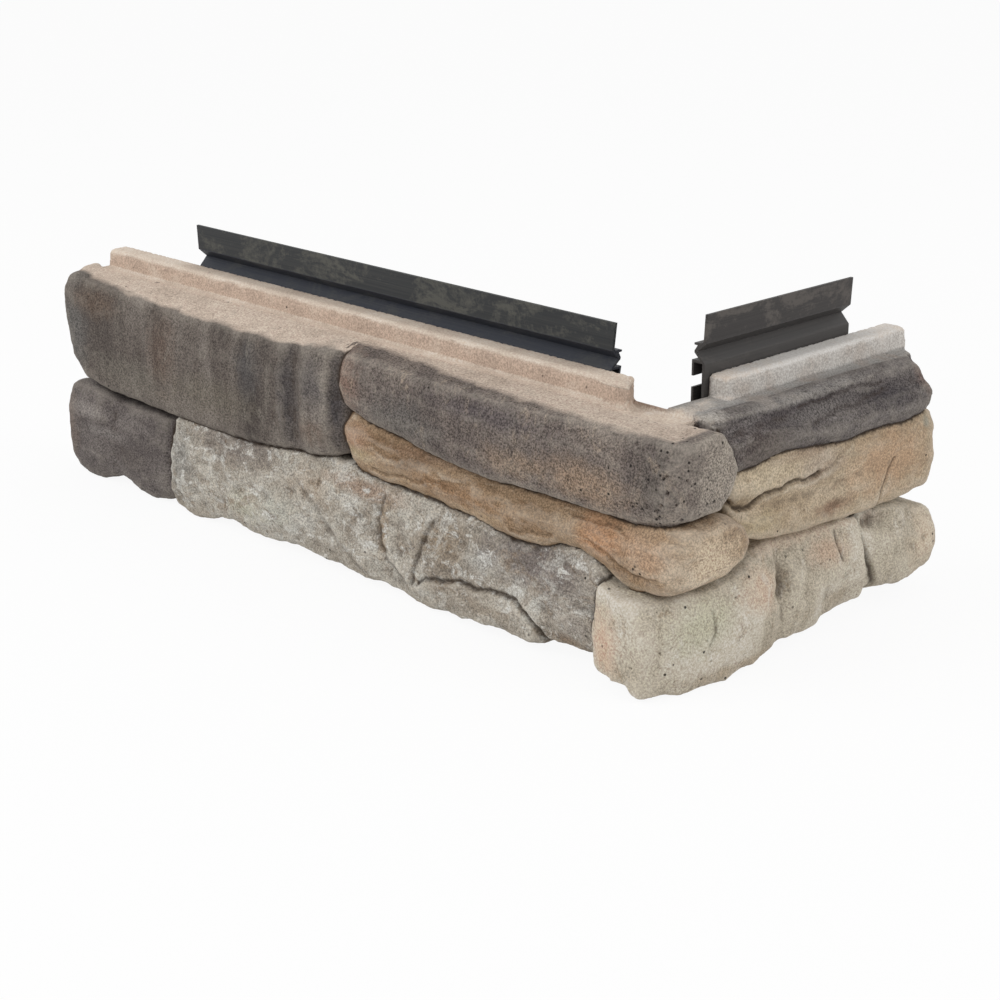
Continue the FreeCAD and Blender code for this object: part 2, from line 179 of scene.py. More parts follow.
tall_bed = eased([(-565, 132), (-561, 120), (-556, 102), (-551, 84), (-545, 75), (-534, 71),
                  (-495, 66), (-425, 65), (-337, 65), (-280, 70), (-230, 76)])
pillow_bed = eased([(-240, 112), (-206, 107), (-177, 104), (-158, 100), (-139, 98), (-85, 95),
                    (-51, 97), (30, 97), (63, 103)])
cleft_bed = eased([(-240, 76), (-215, 71), (-177, 69), (-150, 69), (-121, 67), (-85, 63),
                   (-68, 61), (-50, 63), (-34, 69), (-15, 70), (-4, 67), (7, 59), (14, 56),
                   (48, 58), (66, 61)])
crown_bed = eased([(3, 121), (42, 125), (62, 124), (102, 118), (144, 119), (166, 116),
                   (187, 118), (204, 121)])
mid_bed = eased([(-4, 84), (6, 76), (27, 72), (46, 70), (86, 68), (107, 66), (172, 65),
                 (204, 67)])
foot_top = eased([(-70, 55), (-30, 57), (-12, 54), (-2, 57), (8, 61), (16, 66), (28, 70),
                  (46, 69), (107, 66), (157, 64), (175, 62), (190, 56), (217, 50)])
BACKING, TALL, END, SPLIT, CLEFT, PILLOW, FOOT, MID, CROWN = range(9)
KINDS = range(9)
BED_SLACK = 0.8
TALL_NEAR, END_NEAR = -240, -430.4
BACKING_FACE, SHELF_LEVEL = 32, 152.4
LONG_END, SHORT_END = -548, 207


# %% Which stone a facet belongs to
def stone_of(centre, normal):
    # centre holds the middles of facets in millimetres, one a row, and normal the way they face
    x, y, z = centre.T
    right, back, up = normal.T
    out = np.maximum(x, -y)
    head = (x > 4) | ((x > -3.5) & ((y < -58.5) | (right < -0.3)))
    under = np.where(head, FOOT, SPLIT)
    middle = np.where(z > cleft_bed(x) - BED_SLACK, CLEFT, under)
    near = np.where(z > pillow_bed(x) - BED_SLACK, PILLOW, middle)
    far = np.where(z > tall_bed(x) - BED_SLACK, TALL, np.where(x < END_NEAR, END, SPLIT))
    far_end = (x < TALL_NEAR) | ((x < TALL_NEAR + 5.5) & (right > 0.15))
    long_leg = np.where(far_end, far, near)
    lower = np.where(z > (mid_bed(y) + foot_top(y)) / 2 - BED_SLACK, MID, FOOT)
    short_leg = np.where(z > crown_bed(y) - BED_SLACK, CROWN, lower)
    nose = (y < 3) & (z > 57) & (z < 99.5) & ((back > 0.15) | (x > 56.5))
    short_leg = np.where(nose, CLEFT, short_leg)
    cap = (y > -13.5) & (x > 33) & (((back < -0.5) & (z > 119.5) & (x < 60)) | (z > 151))
    stone = np.where((x > 27) & ((y > -8) | cap), np.where(y > -8, short_leg, CROWN), long_leg)
    toward = np.where(x > -y, right, -back)
    plain = (out < 27.4) | ((z > SHELF_LEVEL - 0.1) & (out < BACKING_FACE + 0.5))
    plain |= (abs(out - BACKING_FACE) < 0.4) & (toward > 0.9)
    plain |= (z < 0.3) & (out < BACKING_FACE - 0.1)
    within = (x > LONG_END - 0.5) & (y < SHORT_END + 0.5)
    return np.where(plain & within, BACKING, stone)


print("beds read for", len(KINDS) - 1, "stones")

# %% [markdown]
# ## A fine skin over the solid
# The solid has flat facets, which would show as planes. Its copy is remeshed into an even net
# of small squares, fine enough to carry splits and cracks as real shape. The net is fixed in
# size, so the same relief comes out at every run.

# %% Copy the casting and remesh it
def plain_mesh(thing, name):
    # What an object's modifiers make of it, as a mesh of its own
    bpy.context.view_layer.update()
    graph = bpy.context.evaluated_depsgraph_get()
    mesh = bpy.data.meshes.new_from_object(
        thing.evaluated_get(graph), preserve_all_data_layers=True, depsgraph=graph)
    mesh.name = name
    return mesh


NET = 0.0011
casting = bpy.data.objects.new("stone_skin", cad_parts["stone_casting"].data.copy())
bpy.context.scene.collection.objects.link(casting)
weld = casting.modifiers.new("Weld", "WELD")
weld.merge_threshold = 1e-6
net = casting.modifiers.new("Net", "REMESH")
net.mode = "VOXEL"
net.voxel_size = NET
solid = casting.data
skin = plain_mesh(casting, "stone_skin")
casting.modifiers.clear()
casting.data = skin
print("net", len(skin.vertices), "points", len(skin.polygons), "faces")


# %% Read points and write values
def points_of(mesh):
    flat = np.empty(len(mesh.vertices) * 3, np.float32)
    mesh.vertices.foreach_get("co", flat)
    return flat.reshape(-1, 3).astype(float)


def note(mesh, name, values):
    # Stores one value, or one vector, for each point of a mesh
    kind, field = ("FLOAT", "value") if values.ndim == 1 else ("FLOAT_VECTOR", "vector")
    mark = mesh.attributes.get(name) or mesh.attributes.new(name, kind, "POINT")
    mark.data.foreach_set(field, values.astype(np.float32).ravel())


def neighbour_mean(mesh, values, rounds):
    edges = np.empty(len(mesh.edges) * 2, np.int32)
    mesh.edges.foreach_get("vertices", edges)
    first, second = edges.reshape(-1, 2).T
    count = np.bincount(edges, minlength=len(values)).clip(1)
    for turn in range(rounds):
        total = np.zeros_like(values)
        for axis in range(values.shape[1]):
            total[:, axis] = (np.bincount(first, values[second, axis], len(values))
                              + np.bincount(second, values[first, axis], len(values)))
        values = total / count[:, None]
    return values


# %% Which stone each point of the net lies on
# The solid's own facets end exactly at the joints, so a point takes the stone of its facet
corners = [tuple(vertex.co) for vertex in solid.vertices]
facets = [tuple(face.vertices) for face in solid.polygons]
centres = np.array([face.center for face in solid.polygons]) * 1000
facet_stone = stone_of(centres, np.array([face.normal for face in solid.polygons]))
finder = BVHTree.FromPolygons(corners, facets)
place = points_of(skin) * 1000
stone = np.array([facet_stone[finder.find_nearest(spot / 1000)[2]] for spot in place])
print("points of each stone", np.bincount(stone))

# %% Ease the facets
# The flat facets across a face are eased into one, and true arrises keep most of their edge
normals = np.empty(len(skin.vertices) * 3, np.float32)
skin.vertices.foreach_get("normal", normals)
normals = normals.reshape(-1, 3).astype(float)
calm = neighbour_mean(skin, place, 14)
step = ((calm - place) * normals).sum(1)
out = np.maximum(place[:, 0], -place[:, 1])
ledge = (place[:, 2] > SHELF_LEVEL - 1.2) & (place[:, 2] < SHELF_LEVEL + 0.8)
ledge &= (out > BACKING_FACE - 3) & (out < BACKING_FACE + 8)
keep = np.where(ledge, 1.0, np.clip(1.25 - np.abs(step) / 0.9, 0.3, 1) * (stone != BACKING))
place = place + (calm - place) * neighbour_mean(skin, keep[:, None], 3)

# The short leg's top stands a little over the long leg's, and ends in a lip at the inner corner.
# The pillow stone has a shallow basin on top of its nose.
LIP_START, LIP_RISE, SHELF_FALL, BASIN = -12.6, 1.2, 3.2, 2.4
top = (place[:, 2] > 149.5) & (normals[:, 2] > 0.4)
lip = (place[:, 1] > LIP_START) & (place[:, 0] > 11) & (out < 50)
rise = np.where(lip, LIP_RISE * np.clip((45 - place[:, 1]) / 40, 0, 1), 0)
fall = SHELF_FALL * np.clip((place[:, 0] + 34) / 30, 0, 1) * np.clip((40 - out) / 14, 0, 1)
across = place[:, 0] + place[:, 1]
basin = np.exp(-((across - 4) / 24) ** 2 - ((out - 45) / 7) ** 2) * (stone == PILLOW)
fall += BASIN * basin
place[:, 2] += np.where(top, np.where(place[:, 1] > LIP_START, rise, -fall), 0)
skin.vertices.foreach_set("co", (place / 1000).astype(np.float32).ravel())
skin.update()
print("eased by up to", round(float(np.abs(step * keep).max()), 2), "mm")

# %% [markdown]
# ## How each stone split
# Slate-like stones break in long thin steps, the tall one at the end in upright facets, and
# the pale ones in broad shells. Three numbers for each stone set the size of its lumps, chips
# and grain, and a stretch lays them along its bedding. The cast backing stays nearly smooth.

# %% Relief of each stone
# Columns: depth of lumps, of chips and of grain in mm, then lumps to a metre along X, Y and Z
RELIEF = {
    BACKING: (0.25, 0.0, 0.12, (30, 30, 30)),
    TALL: (1.5, 0.7, 0.35, (36, 26, 12)),
    END: (1.8, 0.8, 0.32, (30, 30, 24)),
    SPLIT: (2.4, 1.9, 0.42, (22, 24, 34)),
    CLEFT: (1.6, 0.9, 0.30, (14, 16, 62)),
    PILLOW: (1.1, 0.5, 0.50, (16, 18, 24)),
    FOOT: (3.3, 1.3, 0.40, (24, 30, 16)),
    MID: (1.4, 0.9, 0.28, (20, 13, 52)),
    CROWN: (1.5, 0.7, 0.40, (18, 16, 46)),
}
out = np.maximum(place[:, 0], -place[:, 1])
for column, name in enumerate(("lump", "chip", "grain")):
    amount = np.array([RELIEF[kind][column] for kind in KINDS])[stone]
    if name == "grain":
        amount = np.where((out < 12.5) & (place[:, 2] > 161), 1.3, amount)
    else:
        amount = amount * np.clip((out - 33) / 12, 0.06, 1)
    note(skin, name, neighbour_mean(skin, amount[:, None], 4)[:, 0] / 1000)
note(skin, "stretch", np.array([RELIEF[kind][3] for kind in KINDS], float)[stone])
print("relief set for", len(RELIEF), "parts of the pour")


# %% [markdown]
# ## Cracks, ledges and hollows
# The marks that someone would know this piece by are listed. Each is a line on a leg,
# given as distance along the leg and height in millimetres. A crack sinks a narrow furrow
# along its line. A ledge also leaves the stone below the line standing a little proud.

# %% Marks on the faces
# Each mark: leg, stone, width, depth of the furrow, rise of the stone below or after it, its
# reach, and its line
LONG, SHORT = 0, 1
MARKS = [
    (LONG, SPLIT, 1.6, 2.8, 2.4, 18, [(-156, 10), (-148, 15), (-135, 18), (-116, 22), (-98, 22),
                                      (-80, 25), (-67, 24), (-56, 17), (-48, 11), (-43, 2)]),
    (LONG, SPLIT, 2.6, 1.6, -1.4, 16, [(-192, 60), (-196, 44), (-195, 30), (-188, 21), (-168, 5)]),
    (LONG, SPLIT, 2.2, 1.4, 1.4, 18, [(-144, 54), (-153, 37), (-158, 22), (-162, 8)]),
    (LONG, SPLIT, 3.2, 1.0, -1.6, 22, [(-278, 50), (-256, 35), (-244, 24), (-229, 15), (-212, 5)]),
    (LONG, CLEFT, 1.2, 1.2, 1.2, 8, [(-202, 77), (-190, 76), (-174, 78), (-164, 78), (-150, 80)]),
    (LONG, CLEFT, 1.1, 1.1, -1.2, 8, [(-141, 88), (-132, 86), (-122, 86), (-110, 88)]),
    (LONG, CLEFT, 1.3, 0.7, 1.2, 9, [(-214, 93), (-200, 93), (-186, 90), (-172, 90)]),
    (LONG, CLEFT, 1.1, 1.0, 1.2, 8, [(-72, 69), (-64, 68), (-54, 72), (-43, 72), (-36, 74)]),
    (LONG, CLEFT, 1.2, 1.6, -1.0, 9, [(-6, 80), (4, 78), (12, 76), (20, 70), (34, 68), (50, 68)]),
    (LONG, CLEFT, 1.2, 0.8, 0.8, 8, [(-20, 91), (-4, 90), (10, 92), (24, 88)]),
    (SHORT, MID, 1.8, 2.6, 1.6, 12, [(-4, 103), (3, 98), (16, 96), (23, 100), (31, 102),
                                     (42, 101), (55, 104), (66, 102), (78, 103)]),
    (SHORT, MID, 1.0, 0.8, 1.0, 10, [(78, 103), (90, 106), (108, 114)]),
    (SHORT, MID, 1.5, 2.0, -0.8, 14, [(141, 68), (143, 78), (149, 87), (157, 95)]),
    (SHORT, FOOT, 2.8, 3.4, -2.4, 18, [(126, 68), (130, 58), (131, 48), (137, 32), (146, 12)]),
    (SHORT, FOOT, 2.0, 1.6, 1.4, 12, [(101, 58), (100, 50), (103, 41)]),
    (SHORT, FOOT, 1.6, 1.2, 0.8, 10, [(-22, 42), (-20, 30), (-26, 22)]),
    (SHORT, CROWN, 1.4, 1.0, 0.8, 9, [(64, 146), (99, 146), (120, 147), (152, 144)]),
    (SHORT, CROWN, 1.6, 1.0, -0.8, 9, [(70, 136), (96, 139), (118, 138), (150, 141)]),
]
# Each hollow: leg, stone, centre along it and in height, half its length and height, and depth
HOLLOWS = [
    (SHORT, FOOT, 45, 40, 7, 12, 4.5), (SHORT, FOOT, 146, 54, 14, 8, 4.0),
    (SHORT, FOOT, 88, 22, 14, 16, 2.5), (SHORT, FOOT, -24, 36, 8, 8, 1.2),
    (LONG, TALL, -284, 110, 9, 34, 1.6), (LONG, TALL, -242, 112, 6, 30, 1.8),
    (LONG, SPLIT, -175, 42, 18, 16, 2.0), (LONG, SPLIT, -100, 10, 26, 9, 1.5),
    (LONG, CLEFT, -130, 82, 26, 5, 1.2), (LONG, PILLOW, 26, 136, 20, 8, 1.0),
    (SHORT, MID, 98, 80, 22, 7, 2.0), (SHORT, CROWN, 140, 132, 30, 8, 1.5),
    (LONG, END, -500, 44, 14, 16, 1.5),
]


def leg_of(place):
    # Which leg a point's face belongs to, and its distance along that leg
    x, y = place[:, 0], place[:, 1]
    leg = np.where((x > 30) & (x > -y - 6), SHORT, LONG)
    leg = np.where((x > 40) & (y > -66) & (place[:, 2] < 60), SHORT, leg)
    return leg, np.where(leg == SHORT, y, x)


def near_line(along, level, line):
    # How far each point is from a line, and on which side: positive below it or after it
    best = np.full(len(along), 1e9)
    side = np.zeros(len(along))
    for (a0, z0), (a1, z1) in zip(line, line[1:]):
        run, rise = a1 - a0, z1 - z0
        share = np.clip(((along - a0) * run + (level - z0) * rise) / (run * run + rise * rise), 0, 1)
        away = np.hypot(along - a0 - share * run, level - z0 - share * rise)
        turn = np.sign((along - a0) * rise - (level - z0) * run)
        side = np.where(away < best, turn, side)
        best = np.minimum(best, away)
    return best, side


def carving(place, stone):
    # How deep the marks and hollows sink each point, in mm, and how dark its furrow is
    leg, along = leg_of(place)
    wander = 0.5 * np.sin(along * 0.23) + 0.3 * np.sin(along * 0.61 + 1)
    wander += 0.25 * np.sin(along * 1.37)
    level = place[:, 2] + wander
    sunk, dark = np.zeros(len(place)), np.zeros(len(place))
    for side_of, kind, width, depth, rise, reach, line in MARKS:
        mine = np.flatnonzero((stone == kind) & (leg == side_of))
        away, side = near_line(along[mine], level[mine], line)
        furrow = np.exp(-(away / (width * 0.7)) ** 2)
        step = np.clip(1 - away / reach, 0, 1) ** 1.5 * np.where(side > 0, 1, 0)
        sunk[mine] += depth * furrow - rise * step * (1 - furrow)
        # Painted shade: a furrow is darkened more the deeper it sinks
        dark[mine] = np.maximum(dark[mine], furrow * min(depth / 3, 0.8))
    for side_of, kind, centre, middle, length, height, depth in HOLLOWS:
        mine = np.flatnonzero((stone == kind) & (leg == side_of))
        away = np.hypot((along[mine] - centre) / length, (level[mine] - middle) / height)
        sunk[mine] += depth * np.exp(-away ** 2 * 1.4)
    return sunk, dark


sunk, dark = carving(place, stone)
note(skin, "sunk", neighbour_mean(skin, sunk[:, None], 1)[:, 0] / 1000)
edges = np.empty(len(skin.edges) * 2, np.int32)
skin.edges.foreach_get("vertices", edges)
first, second = edges.reshape(-1, 2).T
meet = (stone[first] != stone[second]) & (stone[first] != BACKING) & (stone[second] != BACKING)
seam = np.zeros(len(place))
seam[first[meet]] = 1
seam[second[meet]] = 1

# Joints are dark down the face, and open to the air along the stones' tops. Deep in the
# joints, the backing's face behind the stones is darkened as painted shade.
SEAM_TOP, GAP_SHADE_TOP = 148, 143
seam = neighbour_mean(skin, seam[:, None], 1)[:, 0] * (place[:, 2] < SEAM_TOP)
# Painted shade: the backing's face behind the stones, seen only through the gaps, is darkened
deep = (stone == BACKING) & (out > BACKING_FACE - 2) & (place[:, 2] < GAP_SHADE_TOP)
note(skin, "crack", np.maximum(np.maximum(dark, np.clip(seam * 2.0, 0, 1)), deep * 0.8))
for kind in KINDS:
    note(skin, "of_%d" % kind, (stone == kind) * 1.0)
print("marks", len(MARKS), "hollows", len(HOLLOWS), "deepest", round(float(sunk.max()), 1), "mm")

# %% [markdown]
# ## Where air was trapped
# Small round holes are left where bubbles sat against the mould. They gather on the nose of
# the pillow stone, with a few on the foot stone. A weight on the surface says how likely a
# hole is. The geometry tree below scatters the larger ones, and the finish paints pinholes as
# dark dots of painted shade.

# %% Likelihood of air holes
def cluster(place, centre, radius):
    return np.exp(-(np.linalg.norm(place - np.array(centre, float), axis=1) / radius) ** 2)


holes = 1.0 * cluster(place, (56, -58, 130), 34) + 0.5 * cluster(place, (30, -60, 120), 30)
holes *= stone == PILLOW
holes += 0.14 * (stone == FOOT) * (place[:, 1] < 0) + 0.05 * (stone == FOOT)
holes += 0.03 * (stone == PILLOW) + 0.02 * (stone == MID) + 0.012 * (stone == SPLIT)
note(skin, "airy", holes * (place[:, 2] < 151))
print("holes weighted on", int((holes > 0.01).sum()), "points")

# %% [markdown]
# ## The split surface as a rule
# One geometry tree pushes the skin in and out. Broad noise gives lumps, the distance to
# scattered cell centres gives shallow shells with ridges between them, and fine noise gives
# grain. Points scattered by weight become the air holes, each a pit of its own radius. A rule
# suits this, because the same few numbers serve eight stones.

# %% Build the tree
tree = bpy.data.node_groups.new("split_stone", "GeometryNodeTree")
tree.interface.new_socket("Skin", in_out="INPUT", socket_type="NodeSocketGeometry")
NAMED = {"Lump gain": 1.0, "Chip gain": 1.0, "Grain gain": 1.0, "Chips per metre": 55.0,
         "Grains per metre": 300.0, "Holes per square metre": 4200.0, "Hole radius": 0.001,
         "Hole depth": 0.0022}
for name, value in NAMED.items():
    socket = tree.interface.new_socket(name, in_out="INPUT", socket_type="NodeSocketFloat")
    socket.default_value = value
seed = tree.interface.new_socket("Seed", in_out="INPUT", socket_type="NodeSocketInt")
seed.default_value = 11
tree.interface.new_socket("Finish", in_out="INPUT", socket_type="NodeSocketMaterial")
tree.interface.new_socket("Stone", in_out="OUTPUT", socket_type="NodeSocketGeometry")
bench = Bench(tree)
entry = tree.nodes.new("NodeGroupInput")
given = {socket.name: Wire(bench, socket) for socket in entry.outputs if socket.name}


def stored(name, kind="FLOAT"):
    return bench.node("GeometryNodeInputNamedAttribute", {"data_type": kind}, {"Name": name})


spot = bench.node("GeometryNodeInputPosition")
facing = bench.node("GeometryNodeInputNormal")
flow = bench.vector("MULTIPLY", spot, stored("stretch", "FLOAT_VECTOR"))
lumps = bench.noise(flow, 1.0, 3.0, 0.6, 0.3) - 0.5
warp = bench.node("ShaderNodeTexNoise", None, {"Vector": spot, "Scale": 40.0, "Detail": 2.0}, 1)
bent = bench.vector("ADD", bench.vector("MULTIPLY", spot, (1.0, 1.0, 1.6)),
                    bench.vector("MULTIPLY", warp, (0.016, 0.016, 0.016)))
shells = bench.node("ShaderNodeTexVoronoi", None,
                    {"Vector": bent, "Scale": given["Chips per metre"]}) - 0.45
grains = bench.noise(spot, given["Grains per metre"], 3.0, 0.6) - 0.5
relief = (stored("lump") * lumps * given["Lump gain"] * 2.0
          + stored("chip") * shells * given["Chip gain"] * 1.6
          + stored("grain") * grains * given["Grain gain"] * 2.4)
bubbles = bench.node("GeometryNodeDistributePointsOnFaces", None,
                     {"Mesh": given["Skin"], "Seed": given["Seed"],
                      "Density": stored("airy") * given["Holes per square metre"]})
apart = bench.node("GeometryNodeProximity", {"target_element": "POINTS"},
                   {"Geometry": bubbles}, 1)
radius = given["Hole radius"] * (0.35 + 1.1 * bench.noise(spot, 90.0, 1.0))
pit = ((radius - apart) / (radius * 0.6)).held()
push = relief - stored("sunk") - pit * given["Hole depth"]
moved = bench.node("GeometryNodeSetPosition", None,
                   {"Geometry": given["Skin"], "Offset": bench.node(
                       "ShaderNodeVectorMath", {"operation": "SCALE"},
                       {0: facing, "Scale": push})})
kept = bench.node("GeometryNodeStoreNamedAttribute", {"data_type": "FLOAT", "domain": "POINT"},
                  {"Geometry": moved, "Name": "pit", "Value": pit})
real = bench.node("GeometryNodeRealizeInstances", None, {"Geometry": kept})
dressed = bench.node("GeometryNodeSetMaterial", None,
                     {"Geometry": real, "Material": given["Finish"]})
leave = tree.nodes.new("NodeGroupOutput")
tree.links.new(dressed.socket, leave.inputs["Stone"])
print("tree", tree.name, "has", len(tree.nodes), "nodes")

# %% [markdown]
# ## Finishes of the stones
# Pigment is dusted into the mould before the pour, so a stone's colour is a cloud of two or
# three tones, not one. Each finish starts from such a cloud, lays a few broad patches where
# the piece has them, adds speckle, and then darkens furrows as painted shade and lightens
# convex edges. Those last two come from values stored on the mesh. Fine grit is bump, too
# small for the net.

# %% One recipe for every stone
# A patch is its centre and reach in mm, its colour, and its strength. A mottle is its scale, the
# least noise that shows it, its colour, and its strength.
PINHOLES = 190.0


def stone_finish(name, deep, base, pale, run, patches=(), mottles=(), speckle=0.4, grit=0.6,
                 edge=0.3):
    material = bpy.data.materials.new(name)
    material.use_nodes = True
    bench = Bench(material.node_tree)
    place = own_place(bench)
    flow = bench.vector("MULTIPLY", place, run)
    cloud = bench.noise(flow, 1.0, 4.0, 0.55, 0.5)
    tone = bench.node("ShaderNodeValToRGB", {"stops": [
        (0.30, pigment(*deep)), (0.50, pigment(*base)), (0.70, pigment(*pale))]}, {0: cloud})
    ragged = bench.noise(place, 85.0, 6.0, 0.7) - 0.5
    for centre, reach, colour, strength in patches:
        offset = bench.vector("SUBTRACT", place, [value / 1000 for value in centre])
        scaled = bench.vector("DIVIDE", offset, [value / 1000 for value in reach])
        away = bench.vector("LENGTH", scaled, output=1)
        share = ((1.1 - away + 1.5 * ragged) * 1.3).held() * strength
        tone = bench.mix(share, tone, pigment(*colour))
    for scale, least, colour, strength in mottles:
        blotch = bench.noise(bench.vector("MULTIPLY", flow, (scale, scale, scale)), 1.0, 7.0, 0.72,
                             0.8)
        tone = bench.mix(((blotch - least) * 14.0).held() * strength, tone, pigment(*colour))
    grain = bench.noise(place, 780.0, 4.0, 0.72)
    salt = ((grain - 0.5) * 4.6 + 0.5).held()
    tone = bench.mix(speckle, tone, salt, "OVERLAY")
    return finish_surface(bench, material, tone, grain, grit, edge)


def finish_surface(bench, material, tone, grain, grit, edge):
    # Painted shade in furrows, cracks and air holes, paler convex edges, and shelf dust with
    # painted shade, which all the concrete has alike
    # The dusty value and the dust tone carry shelf dust, and painted shade on the tongue's front, in
    # its crease and on the short leg's shelf
    hollow, dusty, pit, crack, airy = [
        painted(bench, name) for name in ("hollow", "dusty", "pit", "crack", "airy")]
    dust = painted(bench, "dust", 1)
    place = own_place(bench)
    drift = bench.noise(place, 42.0, 4.0, 0.6)
    salt = ((grain - 0.5) * 4.0 + 0.5).held()
    dust_and_shade_share = (dusty * 1.7 + (drift - 0.5) * 2.4 - 0.35).held() * (dusty * 6.0).held()
    tone = bench.mix(dust_and_shade_share * (0.75 + 0.4 * grain), tone, dust)
    tone = bench.mix(dust_and_shade_share * ((drift - 0.5) * 7.0).held() * 0.35, tone, pigment(152, 134, 120))
    tone = bench.mix(dust_and_shade_share * 0.3, tone, salt, "OVERLAY")
    # Painted shade: furrows and other concave places are darkened by their hollow value
    tone = bench.mix(((hollow - 0.2) * 1.2).held() * 0.6, tone, pigment(62, 50, 40))
    # Convex edges and bulges are lightened by their hollow value
    tone = bench.mix((hollow * -1.0 - 0.1).held() * edge, tone, pigment(226, 216, 200))
    # The crack value paints shade along cracks and in the gaps behind the stones, and gives the
    # joints between stones their dark colour
    tone = bench.mix(crack * 0.9, tone, pigment(48, 37, 28))
    # Painted shade: the air holes are darkened nearly to black
    tone = bench.mix(pit * 0.95, tone, pigment(22, 20, 18))
    # Painted shade: pinholes too small for the net are painted as dark dots
    spots = {"Vector": place, "Scale": PINHOLES}
    away = bench.node("ShaderNodeTexVoronoi", None, spots)
    chance = bench.node("ShaderNodeTexVoronoi", None, spots, 1)
    pinhole = ((0.2 - away) * 16.0).held() * ((airy * 0.9 + 0.16 - chance) * 12.0).held()
    tone = bench.mix(pinhole * 0.9, tone, pigment(26, 23, 21))
    shader = material.node_tree.nodes["Principled BSDF"]
    fine = bench.noise(place, 1500.0, 2.0, 0.7)
    bump = bench.node("ShaderNodeBump", None,
                      {"Strength": grit, "Distance": 0.0009, "Height": grain + 0.6 * fine})
    material.node_tree.links.new(tone.socket, shader.inputs["Base Color"])
    material.node_tree.links.new(bump.socket, shader.inputs["Normal"])
    shader.inputs["Roughness"].default_value = 0.92
    shader.inputs["Specular IOR Level"].default_value = 0.25
    return material
